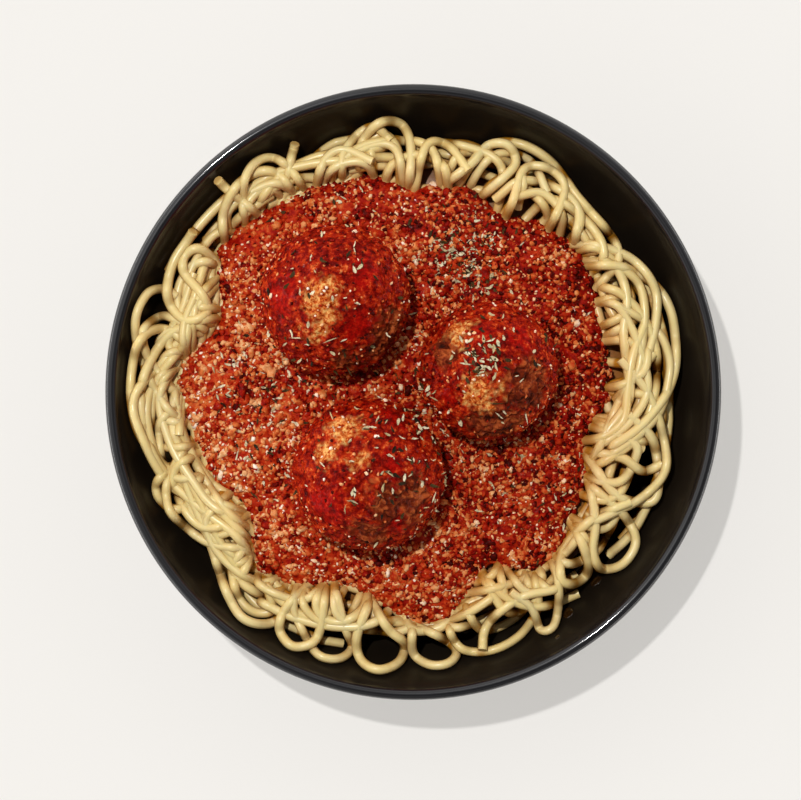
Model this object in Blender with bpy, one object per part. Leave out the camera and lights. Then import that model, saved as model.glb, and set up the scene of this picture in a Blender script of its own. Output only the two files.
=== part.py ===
"""Spaghetti and meatballs in a round black stoneware pasta bowl.

The bowl is turned. A nest of spaghetti fills it: a plain core, with the noodles that show fused on.
A thick meat sauce lies on the nest, and three meatballs sit in sockets in the sauce.
Metres, +Z up, with the origin at the centre of the bowl's foot. Bearings are in degrees from +X.
"""

import math

import bmesh
import bpy
import numpy as np
from mathutils import Matrix, Vector, noise

# The bowl
BOWL_RADIUS = 0.100
BOWL_HEIGHT = 0.046
LIP_WIDTH = 0.0038
WALL = 0.0046
FLOOR_TOP = 0.008
FLOOR_RADIUS = 0.050
WALL_POWER = 2.2
FOOT_OUTER = 0.053
FOOT_INNER = 0.0475
FOOT_RECESS = 0.0022
FOOT_DEPTH = 0.0025
LIP_ROUND = 0.0022
LIP_DROP = 0.001
OUTSIDE_RINGS = (0.062, 0.072, 0.081, 0.088, 0.093)
INSIDE_RINGS = (0.060, 0.068, 0.075, 0.080, 0.0845, 0.089, 0.093)
TURNS = 48
SHARP_ANGLE = 40
GAP = 0.0004
MERGE = 1e-5

# The nest of spaghetti
NOODLE = 0.0015
NOODLE_STEP = 0.0016
NOODLE_CORNER = 0.00048
NOODLE_SINK = 0.80
CORNER_CUTS = 3
STIFFNESS = 12
STACK_TOP = 0.0385
# A noodle dives under the sauce over this stretch outside its outline, in noodle radii
DIVE_END = 1.2
DIVE_LENGTH = 2.2
NEST_RADIUS = 0.0845
CREST_RADIUS = 0.062
CREST = 0.0345
DIP = 0.0015
CREST_WAVES = ((2, 0.0007, 40), (3, 0.0006, 200), (5, 0.0004, 110))
CORE_RINGS = (0.96, 0.90, 0.82, 0.73, 0.5)

# The sauce
SAUCE_LOBES = (
    (0, 0.064), (20, 0.065), (36, 0.071), (50, 0.070), (65, 0.065), (75, 0.069), (90, 0.067),
    (103, 0.073), (125, 0.077), (141, 0.079), (160, 0.068), (175, 0.077), (195, 0.0735),
    (215, 0.067), (230, 0.077), (252, 0.067), (275, 0.0765), (294, 0.062), (306, 0.0715),
    (330, 0.064), (345, 0.058),
)
SAUCE_EDGE = 0.0044
SAUCE_CROWN = 0.0050
SAUCE_LUMP = 0.0011
SAUCE_LUMP_SIZE = 0.009
SAUCE_EDGE_POWER = 10
SAUCE_VAULT = 0.0010
SAUCE_VAULT_RUN = 0.125
SAUCE_RINGS_ABOVE = (0.995, 0.95, 0.87, 0.77, 0.65, 0.52, 0.38, 0.24, 0.12)
SAUCE_RINGS_BELOW = (0.5, 0.88, 1.0)
OUTLINE_STEP = 2

# The meatballs: centre x, centre y, radius
MEATBALLS = (
    (-0.0254, 0.0297, 0.0244),
    (0.0241, 0.0068, 0.0226),
    (-0.0144, -0.0264, 0.0248),
)
MEATBALL_HEIGHT = 0.0188
MEATBALL_CUTS = 6
MEATBALL_LUMP = 0.0011
MEATBALL_LUMP_SIZES = (0.010, 0.009, 0.008)

# Dried herb flakes: length, width, thickness
FLAKE = (0.0030, 0.0016, 0.0009)
FLAKE_SCALES = (0.75, 1.15)
FLAKES_ON_MEATBALL = 3
FLAKE_LEANS = (0.1, 0.7)
HERB_REACH = 0.9
# Where they lie thickest on the sauce: centre x, centre y, spread, number
HERB_PATCHES = (
    (0.015, 0.045, 0.009, 4), (-0.051, 0.006, 0.008, 2), (0.001, -0.006, 0.004, 1), (0.030, -0.035, 0.010, 2),
)

# Noodles that come out from under the sauce, turn over at a crown and go back under it.
# Bearing and reach of the start, of the crown and of the end.
BEND_STEP = 15
BENDS = (
    (-4, 0.072, 14, 0.0780, 41, 0.071),
    (-11, 0.078, 6, 0.0845, 22, 0.076),
    (-2, 0.083, 17, 0.0880, 34, 0.076),
    (46, 0.070, 27, 0.0855, 11, 0.080),
    (2, 0.062, 12, 0.0740, 26, 0.064),
    (39, 0.082, 66, 0.0885, 79, 0.064),
    (50, 0.064, 57, 0.0850, 64, 0.062),
    (44, 0.073, 52, 0.0800, 66, 0.073),
    (76, 0.074, 84, 0.0815, 91, 0.066),
    (91, 0.066, 96, 0.0887, 105, 0.069),
    (97, 0.082, 101, 0.0865, 110, 0.070),
    (118, 0.070, 124, 0.0905, 139, 0.073),
    (120, 0.073, 128, 0.0870, 144, 0.076),
    (144, 0.0890, 155, 0.0880, 163, 0.067),
    (162, 0.066, 167, 0.0900, 186, 0.075),
    (156, 0.086, 164, 0.0932, 183, 0.084),
    (175, 0.079, 188, 0.0880, 217, 0.073),
    (173, 0.088, 184, 0.0920, 205, 0.084),
    (180, 0.075, 192, 0.0810, 223, 0.069),
    (208, 0.073, 233, 0.0918, 240, 0.078),
    (225, 0.080, 232, 0.0885, 236, 0.074),
    (234, 0.0845, 244, 0.0825, 266, 0.066),
    (239, 0.075, 244.5, 0.0915, 250, 0.079),
    (257, 0.076, 262.5, 0.0912, 268, 0.072),
    (278, 0.078, 289, 0.0885, 304, 0.075),
    (309.5, 0.0850, 303, 0.0825, 291, 0.060),
    (296, 0.076, 300, 0.0890, 309, 0.071),
    (317, 0.062, 342, 0.0855, 366, 0.073),
    (343, 0.055, 352, 0.0700, 367, 0.068),
)
# Noodles that turn a full loop: bearing and reach of the loop's far side, its radius,
# and the bearings at which its two legs go under the sauce.
CURL_STEP = 30
CURL_TURN = 120
CURL_NECK = 2.3
CURL_ROOT = 0.062
CURLS = (
    (252.5, 0.0910, 0.0066, 262, 245),
    (276, 0.0900, 0.0060, 284, 268),
    (323.5, 0.0885, 0.0078, 332, 314),
)

# Colours and roughness of the plain finishes
BLACK_GLAZE = ((0.018, 0.016, 0.015), 0.35)
COOKED_PASTA = ((0.80, 0.62, 0.30), 0.45)
MEAT_SAUCE = ((0.42, 0.055, 0.014), 0.3)
BROWNED_MEAT = ((0.30, 0.050, 0.018), 0.4)

RNG = np.random.default_rng(7)


def clear_scene():
    for obj in list(bpy.data.objects):
        bpy.data.objects.remove(obj)


def finish(name, colour, roughness):
    """A plain finish without metal."""
    material = bpy.data.materials.new(name)
    material.use_nodes = True
    shader = material.node_tree.nodes["Principled BSDF"]
    shader.inputs["Base Color"].default_value = (*colour, 1.0)
    shader.inputs["Roughness"].default_value = roughness
    shader.inputs["Metallic"].default_value = 0.0
    return material


def add_object(name, mesh, material=None):
    """A named object in the scene, or an unlinked helper where it has no material."""
    obj = bpy.data.objects.new(name, mesh)
    if material:
        mesh.materials.clear()
        mesh.materials.append(material)
        bpy.context.scene.collection.objects.link(obj)
    return obj


def mesh_of(bm, name):
    mesh = bpy.data.meshes.new(name)
    bmesh.ops.recalc_face_normals(bm, faces=bm.faces)
    bm.to_mesh(mesh)
    bm.free()
    return mesh


def apply_boolean(obj, operation, tools, solver="EXACT"):
    """Joins the tools to the object, or cuts them from it, and removes them."""
    collection = bpy.data.collections.new(operation.title())
    for tool in tools:
        collection.objects.link(tool)
    modifier = obj.modifiers.new(operation.title(), "BOOLEAN")
    modifier.operation = operation
    modifier.operand_type = "COLLECTION"
    modifier.collection = collection
    modifier.solver = solver
    graph = bpy.context.evaluated_depsgraph_get()
    made = bpy.data.meshes.new_from_object(obj.evaluated_get(graph))
    obj.modifiers.clear()
    obj.data = made
    for tool in tools:
        bpy.data.objects.remove(tool)
    bpy.data.collections.remove(collection)


def keep_outer_shell(obj):
    """Drops sealed hollows and loose scraps, and leaves the one large outer shell."""
    bm = bmesh.new()
    bm.from_mesh(obj.data)
    left = set(bm.verts)
    shells = []
    while left:
        shell = set()
        edge_of_search = [left.pop()]
        while edge_of_search:
            vert = edge_of_search.pop()
            shell.add(vert)
            for edge in vert.link_edges:
                other = edge.other_vert(vert)
                if other in left:
                    left.remove(other)
                    edge_of_search.append(other)
        shells.append(shell)
    shells.sort(key=len)
    scraps = [vert for shell in shells[:-1] for vert in shell]
    bmesh.ops.delete(bm, geom=scraps, context="VERTS")
    bm.to_mesh(obj.data)
    bm.free()


def polar(bearing, reach):
    angle = math.radians(bearing)
    return reach * math.cos(angle), reach * math.sin(angle)


def inside_height(reach):
    """Height of the bowl's inner surface at a distance from its axis."""
    climb = max(0.0, (reach - FLOOR_RADIUS) / (BOWL_RADIUS - LIP_WIDTH - FLOOR_RADIUS))
    return FLOOR_TOP + (BOWL_HEIGHT - LIP_DROP - FLOOR_TOP) * climb**WALL_POWER


def inside_slope(reach):
    """Length along the wall for each unit of reach, which is 1 on the flat floor."""
    rise = (inside_height(reach + GAP) - inside_height(reach - GAP)) / (2 * GAP)
    return math.hypot(1.0, rise)


def turned(profile):
    """The solid turned from a profile of (reach, height) points that starts and ends on the axis."""
    bm = bmesh.new()
    verts = [bm.verts.new((reach, 0.0, height)) for reach, height in profile]
    edges = [bm.edges.new(pair) for pair in zip(verts, verts[1:])]
    bmesh.ops.spin(
        bm, geom=verts + edges, cent=(0, 0, 0), axis=(0, 0, 1), angle=math.tau, steps=TURNS, use_merge=True
    )
    bmesh.ops.remove_doubles(bm, verts=bm.verts, dist=MERGE)
    return bm


def bowl_profile():
    """Up the outside from the foot's recess, over the rounded lip and down the inside."""
    outside = [(0.0, FOOT_RECESS), (FOOT_INNER - FOOT_RECESS, FOOT_RECESS)]
    outside += [(FOOT_INNER, 0.0), (FOOT_OUTER, 0.0)]
    outside.append((FOOT_OUTER + GAP, FOOT_DEPTH))
    for reach in OUTSIDE_RINGS:
        slope = inside_slope(reach)
        out = WALL / slope
        back = WALL * math.sqrt(1 - 1 / slope**2)
        outside.append((reach + back, inside_height(reach) - out))
    lip = [
        (BOWL_RADIUS, BOWL_HEIGHT - LIP_ROUND),
        (BOWL_RADIUS - LIP_ROUND / 3, BOWL_HEIGHT - LIP_ROUND / 4),
        (BOWL_RADIUS - LIP_WIDTH / 2, BOWL_HEIGHT),
    ]
    reaches = (BOWL_RADIUS - LIP_WIDTH, *reversed(INSIDE_RINGS), FLOOR_RADIUS)
    inside = [(reach, inside_height(reach)) for reach in reaches]
    return outside + lip + inside + [(0.0, FLOOR_TOP)]


def make_bowl():
    mesh = mesh_of(turned(bowl_profile()), "bowl")
    bowl = add_object("bowl", mesh, finish("black_glaze", *BLACK_GLAZE))
    mesh.shade_smooth()
    mesh.set_sharp_from_angle(angle=math.radians(SHARP_ANGLE))
    return bowl


def nest_height(x, y):
    """Height of the nest's bare core: a low crest round a dip, falling to the bowl's wall."""
    reach = math.hypot(x, y)
    bearing = math.atan2(y, x)
    share = min(1.0, reach / CREST_RADIUS)
    waves = sum(size * math.sin(n * bearing + math.radians(turn)) for n, size, turn in CREST_WAVES)
    crest = CREST + waves * share**2 - DIP * (1 - share**2)
    if reach <= CREST_RADIUS:
        return crest
    edge = inside_height(NEST_RADIUS) + 2 * GAP
    fall = min(1.0, (reach - CREST_RADIUS) / (NEST_RADIUS - CREST_RADIUS))
    return crest - (crest - edge) * fall**2


def ringed_solid(reach_of, rings_above, rings_below, top, bottom):
    """A closed solid of rings round the axis. A ring lies at a share of the outline's reach."""
    bm = bmesh.new()
    rows = []
    for share, height in [(s, bottom) for s in rings_below] + [(s, top) for s in rings_above]:
        row = []
        for k in range(TURNS):
            bearing = 360 * k / TURNS
            x, y = polar(bearing, share * reach_of(bearing))
            row.append(bm.verts.new((x, y, height(x, y, share))))
        rows.append([bm.edges.new((row[k - 1], row[k])) for k in range(TURNS)])
    for lower, upper in zip(rows, rows[1:]):
        bmesh.ops.bridge_loops(bm, edges=lower + upper)
    for row, height in ((rows[0], bottom), (rows[-1], top)):
        pole = bm.verts.new((0, 0, height(0, 0, 0)))
        for edge in row:
            bm.faces.new((*edge.verts, pole))
    return bm


def make_nest_core():
    def underside(x, y, share):
        reach = math.hypot(x, y)
        return inside_height(reach) + GAP * inside_slope(reach)

    below = [reach / NEST_RADIUS for reach in (FLOOR_RADIUS, *INSIDE_RINGS) if reach <= NEST_RADIUS]
    bm = ringed_solid(
        lambda bearing: NEST_RADIUS, CORE_RINGS, below, lambda x, y, share: nest_height(x, y), underside
    )
    return mesh_of(bm, "spaghetti")


def sauce_reach(bearing):
    """The sauce's outline: cosine steps between its lobes and bays."""
    bearings = [b for b, _ in SAUCE_LOBES] + [SAUCE_LOBES[0][0] + 360]
    reaches = [r for _, r in SAUCE_LOBES] + [SAUCE_LOBES[0][1]]
    bearing %= 360
    k = max(i for i, b in enumerate(bearings) if b <= bearing)
    share = (bearing - bearings[k]) / (bearings[k + 1] - bearings[k])
    return reaches[k] + (reaches[k + 1] - reaches[k]) * (1 - math.cos(math.pi * share)) / 2


def outline_points():
    return np.array([polar(b, sauce_reach(b)) for b in np.arange(0, 360, OUTLINE_STEP)])


def bend_route(start_bearing, start, crown_bearing, crown, end_bearing, end):
    """Two quarter ellipses that meet at the crown, where the noodle runs along the rim."""
    points = []
    for turn in np.radians(np.arange(0, 181, BEND_STEP)):
        bearing, reach = (start_bearing, start) if turn < math.pi / 2 else (end_bearing, end)
        points.append(
            polar(
                crown_bearing + (bearing - crown_bearing) * abs(math.cos(turn)),
                reach + (crown - reach) * math.sin(turn),
            )
        )
    return points


def curl_route(bearing, reach, radius, start_bearing, end_bearing):
    """A loop whose legs cross below it."""
    middle = Vector(polar(bearing, reach - radius))
    neck = reach - CURL_NECK * radius
    points = [polar(start_bearing, CURL_ROOT), polar((start_bearing + bearing) / 2, neck)]
    for turn in range(-CURL_TURN, CURL_TURN + 1, CURL_STEP):
        points.append(middle + Vector(polar(bearing + turn, radius)))
    points += [polar((end_bearing + bearing) / 2, neck), polar(end_bearing, CURL_ROOT)]
    return points


def even_route(points, step):
    """The route with its corners cut round and its points a step apart."""
    route = np.array([tuple(p) for p in points])
    for _ in range(CORNER_CUTS):
        cut = np.empty((2 * len(route) - 2, 2))
        cut[0::2] = 0.75 * route[:-1] + 0.25 * route[1:]
        cut[1::2] = 0.25 * route[:-1] + 0.75 * route[1:]
        route = np.vstack([route[:1], cut, route[-1:]])
    along = np.concatenate([[0], np.cumsum(np.linalg.norm(np.diff(route, axis=0), axis=1))])
    count = max(4, round(along[-1] / step) + 1)
    places = np.linspace(0, along[-1], count)
    return np.column_stack([np.interp(places, along, route[:, k]) for k in range(2)])


def resting_height(x, y, outline):
    """Lowest height of a noodle's middle on the bare nest and the bowl. It dives under the sauce."""
    reach = math.hypot(x, y)
    on_bowl = inside_height(reach) + (NOODLE + GAP) * inside_slope(reach)
    clear = np.linalg.norm(outline - (x, y), axis=1).min()
    if reach < sauce_reach(math.degrees(math.atan2(y, x))):
        clear = 0.0
    share = min(1.0, max(0.0, (clear / NOODLE - DIVE_END) / DIVE_LENGTH))
    lift = -NOODLE - GAP + (NOODLE * NOODLE_SINK + NOODLE + GAP) * share
    if reach > NEST_RADIUS:
        return on_bowl
    return max(on_bowl, nest_height(x, y) + lift)


def lay_noodle(route, laid, outline):
    """Heights along a route, so that the noodle lies on the nest and over the noodles laid before it."""
    need = np.array([resting_height(x, y, outline) for x, y in route])
    tucked = need < [nest_height(x, y) for x, y in route]
    reach_over = 2 * NOODLE * NOODLE_SINK
    for other in laid:
        apart = np.linalg.norm(route[:, None, :] - other[None, :, :2], axis=2)
        over = other[None, :, 2] + np.sqrt(np.maximum(0.0, reach_over**2 - apart**2))
        over = np.where(apart < reach_over, over, 0.0).max(axis=1)
        need = np.where(tucked, need, np.maximum(need, np.minimum(over, STACK_TOP)))
    height = need.copy()
    for _ in range(STIFFNESS):
        height[1:-1] = 0.25 * height[:-2] + 0.5 * height[1:-1] + 0.25 * height[2:]
        height = np.where(tucked, need, np.maximum(height, need))
    return np.column_stack([route, height])


def with_fewer_points(points, tolerance):
    """The same path with only the points that it needs to stay within the tolerance."""
    start, end = points[0], points[-1]
    along = (end - start) / max(np.linalg.norm(end - start), 1e-9)
    away = points - start
    away = away - np.outer(away @ along, along)
    off = np.linalg.norm(away, axis=1)
    far = int(off.argmax())
    if off[far] <= tolerance or len(points) < 3:
        return np.array([start, end])
    first = with_fewer_points(points[: far + 1], tolerance)
    return np.vstack([first[:-1], with_fewer_points(points[far:], tolerance)])


def noodle_object(points):
    curve = bpy.data.curves.new("noodle", "CURVE")
    curve.dimensions = "3D"
    curve.bevel_depth = NOODLE
    curve.bevel_resolution = 1
    curve.use_fill_caps = True
    spline = curve.splines.new("POLY")
    spline.points.add(len(points) - 1)
    for point, place in zip(spline.points, points):
        point.co = (*place, 1.0)
    tube = bpy.data.objects.new("tube", curve)
    bm = bmesh.new()
    bm.from_mesh(tube.to_mesh())
    bmesh.ops.remove_doubles(bm, verts=bm.verts, dist=MERGE)
    tube.to_mesh_clear()
    return add_object("noodle", mesh_of(bm, "noodle"))


def make_spaghetti():
    outline = outline_points()
    routes = [bend_route(*row) for row in BENDS] + [curl_route(*row) for row in CURLS]
    laid = []
    for route in routes:
        laid.append(lay_noodle(even_route(route, NOODLE_STEP), laid, outline))
    spaghetti = add_object("spaghetti", make_nest_core(), finish("cooked_pasta", *COOKED_PASTA))
    noodles = [noodle_object(with_fewer_points(points, NOODLE_CORNER)) for points in laid]
    apply_boolean(spaghetti, "UNION", noodles)
    keep_outer_shell(spaghetti)
    spaghetti.data.materials[0] = bpy.data.materials["cooked_pasta"]
    return spaghetti


def lump(x, y, z, size):
    """Uneven relief from -1 to 1, whose lumps are about as wide as size."""
    place = Vector((x, y, z)) / size
    return noise.noise(place) + 0.5 * noise.noise(place * 2.1)


def sauce_height(x, y, share):
    body = SAUCE_EDGE + SAUCE_CROWN * (1 - share**2)
    rounding = math.sqrt(max(0.0, 1 - share**SAUCE_EDGE_POWER))
    relief = SAUCE_LUMP * lump(x, y, 0, SAUCE_LUMP_SIZE)
    return nest_height(x, y) + GAP + (body + relief) * rounding


def meatball_mesh(index, grow=0.0):
    """A lumpy ball with no poles, flat where it rests on the nest."""
    x, y, radius = MEATBALLS[index]
    middle = Vector((x, y, nest_height(x, y) + MEATBALL_HEIGHT))
    bm = bmesh.new()
    bmesh.ops.create_cube(bm, size=2.0)
    bmesh.ops.subdivide_edges(bm, edges=bm.edges, cuts=MEATBALL_CUTS, use_grid_fill=True)
    for vert in bm.verts:
        out = Vector([math.tan(c * math.pi / 4) for c in vert.co]).normalized()
        relief = MEATBALL_LUMP * lump(*(out * radius), MEATBALL_LUMP_SIZES[index])
        place = middle + out * (radius + relief + grow)
        lowest = nest_height(place.x, place.y) + 2 * GAP - 2 * grow
        vert.co = (place.x, place.y, max(place.z, lowest))
    return mesh_of(bm, "meatball")


def flake_object(place, up):
    """One flake lying on a surface, turned at random about the way up."""
    bm = bmesh.new()
    bmesh.ops.create_cube(bm, size=1.0)
    turn = up.to_track_quat("Z", "Y").to_matrix().to_4x4() @ Matrix.Rotation(RNG.uniform(0, math.tau), 4, "Z")
    size = Matrix.Diagonal((*FLAKE, 1.0)) @ Matrix.Scale(RNG.uniform(*FLAKE_SCALES), 4)
    bmesh.ops.transform(bm, matrix=Matrix.Translation(place) @ turn @ size, verts=bm.verts)
    return add_object("flake", mesh_of(bm, "flake"))


def make_meatball(index, material):
    ball = add_object(f"meatball_{index + 1}", meatball_mesh(index), material)
    flakes = []
    for _ in range(FLAKES_ON_MEATBALL):
        bearing, lean = RNG.uniform(0, 360), RNG.uniform(*FLAKE_LEANS)
        up = Vector((*polar(bearing, math.sin(lean)), math.cos(lean)))
        x, y, radius = MEATBALLS[index]
        middle = Vector((x, y, nest_height(x, y) + MEATBALL_HEIGHT))
        relief = MEATBALL_LUMP * lump(*(up * radius), MEATBALL_LUMP_SIZES[index])
        flakes.append(flake_object(middle + up * (radius + relief), up))
    apply_boolean(ball, "UNION", flakes)
    keep_outer_shell(ball)
    ball.data.materials[0] = material
    return ball


def clear_of_meatballs(x, y, margin):
    return all(math.hypot(x - bx, y - by) > radius + margin for bx, by, radius in MEATBALLS)


def make_sauce():
    def underside(x, y, share):
        return nest_height(x, y) + GAP + SAUCE_VAULT * min(1.0, (1 - share) / SAUCE_VAULT_RUN)

    bm = ringed_solid(sauce_reach, SAUCE_RINGS_ABOVE, SAUCE_RINGS_BELOW, sauce_height, underside)
    material = finish("meat_sauce", *MEAT_SAUCE)
    sauce = add_object("sauce", mesh_of(bm, "sauce"), material)
    sockets = [add_object("socket", meatball_mesh(k, GAP)) for k in range(len(MEATBALLS))]
    apply_boolean(sauce, "DIFFERENCE", sockets, "MANIFOLD")
    flakes = []
    for patch_x, patch_y, spread, count in HERB_PATCHES:
        for _ in range(count):
            x, y = RNG.normal((patch_x, patch_y), spread / 2)
            share = math.hypot(x, y) / sauce_reach(math.degrees(math.atan2(y, x)))
            if clear_of_meatballs(x, y, FLAKE[0]) and share < HERB_REACH:
                flakes.append(flake_object(Vector((x, y, sauce_height(x, y, share))), Vector((0, 0, 1))))
    apply_boolean(sauce, "UNION", flakes, "MANIFOLD")
    keep_outer_shell(sauce)
    sauce.data.materials[0] = material
    return sauce


def main():
    clear_scene()
    make_bowl()
    make_spaghetti()
    make_sauce()
    browned = finish("browned_meat", *BROWNED_MEAT)
    for index in range(len(MEATBALLS)):
        make_meatball(index, browned)


main()
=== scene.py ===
# %% [markdown]
# Spaghetti and meatballs in a black bowl
#
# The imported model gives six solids: the bowl, the nest of spaghetti, the sauce and three meatballs.
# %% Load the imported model
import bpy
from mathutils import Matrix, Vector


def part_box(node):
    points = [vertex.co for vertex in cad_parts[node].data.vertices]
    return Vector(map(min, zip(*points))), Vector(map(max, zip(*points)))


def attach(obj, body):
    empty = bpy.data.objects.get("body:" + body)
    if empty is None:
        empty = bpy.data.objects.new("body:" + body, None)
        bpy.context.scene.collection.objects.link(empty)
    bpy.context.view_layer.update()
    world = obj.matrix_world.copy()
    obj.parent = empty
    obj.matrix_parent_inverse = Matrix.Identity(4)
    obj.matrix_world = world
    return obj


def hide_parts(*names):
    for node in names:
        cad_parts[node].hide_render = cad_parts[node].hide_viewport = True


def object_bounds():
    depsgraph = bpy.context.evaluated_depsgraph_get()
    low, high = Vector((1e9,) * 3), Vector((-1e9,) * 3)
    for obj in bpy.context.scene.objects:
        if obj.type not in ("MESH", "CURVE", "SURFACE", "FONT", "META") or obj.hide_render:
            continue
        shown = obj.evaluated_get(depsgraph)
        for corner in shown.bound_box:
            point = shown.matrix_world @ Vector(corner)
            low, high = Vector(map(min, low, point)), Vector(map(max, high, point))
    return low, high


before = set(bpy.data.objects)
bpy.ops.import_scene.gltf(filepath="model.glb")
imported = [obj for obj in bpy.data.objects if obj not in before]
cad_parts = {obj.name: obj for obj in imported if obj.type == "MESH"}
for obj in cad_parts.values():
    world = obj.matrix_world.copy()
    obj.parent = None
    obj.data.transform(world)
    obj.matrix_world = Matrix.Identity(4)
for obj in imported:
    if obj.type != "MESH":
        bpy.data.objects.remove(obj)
cad_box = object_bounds()
print("nodes", sorted(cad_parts))

# %% [markdown]
# bmesh holds the modelling operators, mathutils has the noise that makes food uneven, and numpy works on
# thousands of points at once. Every random draw is seeded, so that the heap is the same each time. Noise
# that gives a vector has a seed of its own, which would otherwise come from the clock.
# %% Modules and the random generator
import math
import bmesh
import bpy
import numpy as np
from mathutils import Matrix, Vector, noise
from mathutils.bvhtree import BVHTree

SEED = 11
rng = np.random.default_rng(SEED)
noise.seed_set(SEED)

# %% [markdown]
# The frame gives the bowl's radius and height. Only what a box can't tell is written as a number: how the
# bowl's wall curves and how the food lies in it. The same rules shaped the solids, so the dressed pieces
# keep their form.
# %% Sizes that the frame gives
_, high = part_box("bowl")
BOWL_RADIUS, BOWL_HEIGHT = high[0], high[2]
print("bowl", round(BOWL_RADIUS, 4), round(BOWL_HEIGHT, 4))

# %% Sizes of the bowl and of the food in it
LIP_WIDTH = 0.0038
WALL = 0.0046
FLOOR_TOP = 0.008
FLOOR_RADIUS = 0.050
WALL_POWER = 2.2
FOOT_OUTER = 0.053
FOOT_INNER = 0.0475
FOOT_RECESS = 0.0022
NEST_RADIUS = 0.0845
CREST_RADIUS = 0.062
CREST = 0.0345
DIP = 0.0015
CREST_WAVES = ((2, 0.0007, 40), (3, 0.0006, 200), (5, 0.0004, 110))
SAUCE_EDGE = 0.0044
SAUCE_CROWN = 0.0050
GAP = 0.0004
HIGHEST = cad_box[1][2] - GAP  # nothing rises above this


def polar(bearing, reach):
    angle = math.radians(bearing)
    return reach * math.cos(angle), reach * math.sin(angle)


def inside_height(reach):
    """Height of the bowl's inner surface at a distance from its axis."""
    climb = np.maximum(0.0, (reach - FLOOR_RADIUS) / (BOWL_RADIUS - LIP_WIDTH - FLOOR_RADIUS))
    return FLOOR_TOP + (BOWL_HEIGHT - 0.001 - FLOOR_TOP) * climb**WALL_POWER


def nest_height(x, y):
    """Height of the nest's bare core: a low crest round a dip, falling to the bowl's wall."""
    reach = np.hypot(x, y)
    bearing = np.arctan2(y, x)
    share = np.minimum(1.0, reach / CREST_RADIUS)
    waves = sum(size * np.sin(n * bearing + math.radians(turn)) for n, size, turn in CREST_WAVES)
    crest = CREST + waves * share**2 - DIP * (1 - share**2)
    edge = inside_height(NEST_RADIUS) + 2 * GAP
    fall = np.clip((reach - CREST_RADIUS) / (NEST_RADIUS - CREST_RADIUS), 0.0, 1.0)
    return crest - (crest - edge) * fall**2


print("nest is", round(float(nest_height(0.0, 0.0)), 4), "high at its middle")

# %% [markdown]
# A finish is a small tree of shader nodes. A few helpers keep the trees short: noise, a ramp that turns
# a value into colours, a mix, a sum or product, the distance from the bowl's axis, and fine relief. All
# read the piece's own Object coordinates, so that a pattern stays with the piece from every side.
# %% Helpers for the finishes
def srgb(red, green, blue):
    """A colour as a screen shows it, 0 to 255, turned into the linear values that a shader takes."""
    linear = [c / 255 / 12.92 if c <= 10 else ((c / 255 + 0.055) / 1.055) ** 2.4 for c in (red, green, blue)]
    return (*linear, 1.0)


WHITE = srgb(255, 255, 255)


def fill(node, inputs):
    """Gives a node's inputs what they take: another node's output or a fixed value."""
    for name, source in inputs.items():
        if isinstance(source, bpy.types.NodeSocket):
            node.id_data.links.new(source, node.inputs[name])
        else:
            node.inputs[name].default_value = source


def start_material(name, roughness, gloss, coat=0.0, coat_roughness=0.1):
    material = bpy.data.materials.new(name)
    material.use_nodes = True
    tree = material.node_tree
    shader = tree.nodes["Principled BSDF"]
    fill(shader, {"Roughness": roughness, "Specular IOR Level": gloss})
    fill(shader, {"Coat Weight": coat, "Coat Roughness": coat_roughness})
    return material, tree, shader, tree.nodes.new("ShaderNodeTexCoord").outputs["Object"]


def add_noise(tree, place, size, detail=3.0, rough=0.55):
    """Noise whose lumps are about as wide as size, in metres."""
    node = tree.nodes.new("ShaderNodeTexNoise")
    fill(node, {"Vector": place, "Scale": 1.0 / size, "Detail": detail, "Roughness": rough})
    return node.outputs["Fac"]


def add_ramp(tree, value, *stops):
    """Colours along a value: each stop is a position and a colour."""
    node = tree.nodes.new("ShaderNodeValToRGB")
    ramp = node.color_ramp
    while len(ramp.elements) < len(stops):
        ramp.elements.new(0.5)
    for element, (position, colour) in zip(ramp.elements, stops):
        element.position = position
        element.color = colour
    fill(node, {"Fac": value})
    return node.outputs["Color"]


def add_mix(tree, share, first, second, blend="MIX"):
    """Mixes two colours by a share."""
    node = tree.nodes.new("ShaderNodeMix")
    node.data_type = "RGBA"
    node.blend_type = blend
    fill(node, {0: share, 6: first, 7: second})
    return node.outputs[2]


def add_math(tree, operation, first, second, kind="ShaderNodeMath", output="Value"):
    node = tree.nodes.new(kind)
    node.operation = operation
    fill(node, {0: first, 1: second})
    return node.outputs[output]


def axis_distance(tree, place):
    """How far a point lies from the bowl's axis, in metres."""
    flat = add_math(tree, "MULTIPLY", place, (1.0, 1.0, 0.0), "ShaderNodeVectorMath", "Vector")
    return add_math(tree, "LENGTH", flat, (0.0, 0.0, 0.0), "ShaderNodeVectorMath")


def add_relief(tree, shader, place, *layers):
    """Fine relief in layers, each given as its lumps' width, its noise's detail and its height in metres."""
    normal = None
    for size, detail, height in layers:
        node = tree.nodes.new("ShaderNodeBump")
        fill(node, {"Distance": height, "Height": add_noise(tree, place, size, detail)})
        if normal:
            fill(node, {"Normal": normal})
        normal = node.outputs["Normal"]
    fill(shader, {"Normal": normal})


def read_attribute(tree, name):
    node = tree.nodes.new("ShaderNodeAttribute")
    node.attribute_name = name
    return node.outputs["Fac"]


print("finish helpers ready")

# %% [markdown]
# Every piece ends the same way: its mesh goes into an object at the origin, gets its finish, and rides
# on the part's one body. A piece that stands for a solid replaces it.
# %% Helpers for the pieces
def new_object(name, data):
    thing = bpy.data.objects.new(name, data)
    bpy.context.scene.collection.objects.link(thing)
    return thing


def add_piece(name, mesh, material, replaces=None, smooth=True):
    mesh.materials.append(material)
    if smooth:
        mesh.shade_smooth()
    piece = new_object(name, mesh)
    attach(piece, "root")
    if replaces:
        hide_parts(replaces)
    print(name, len(mesh.polygons), "faces")
    return piece


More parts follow.
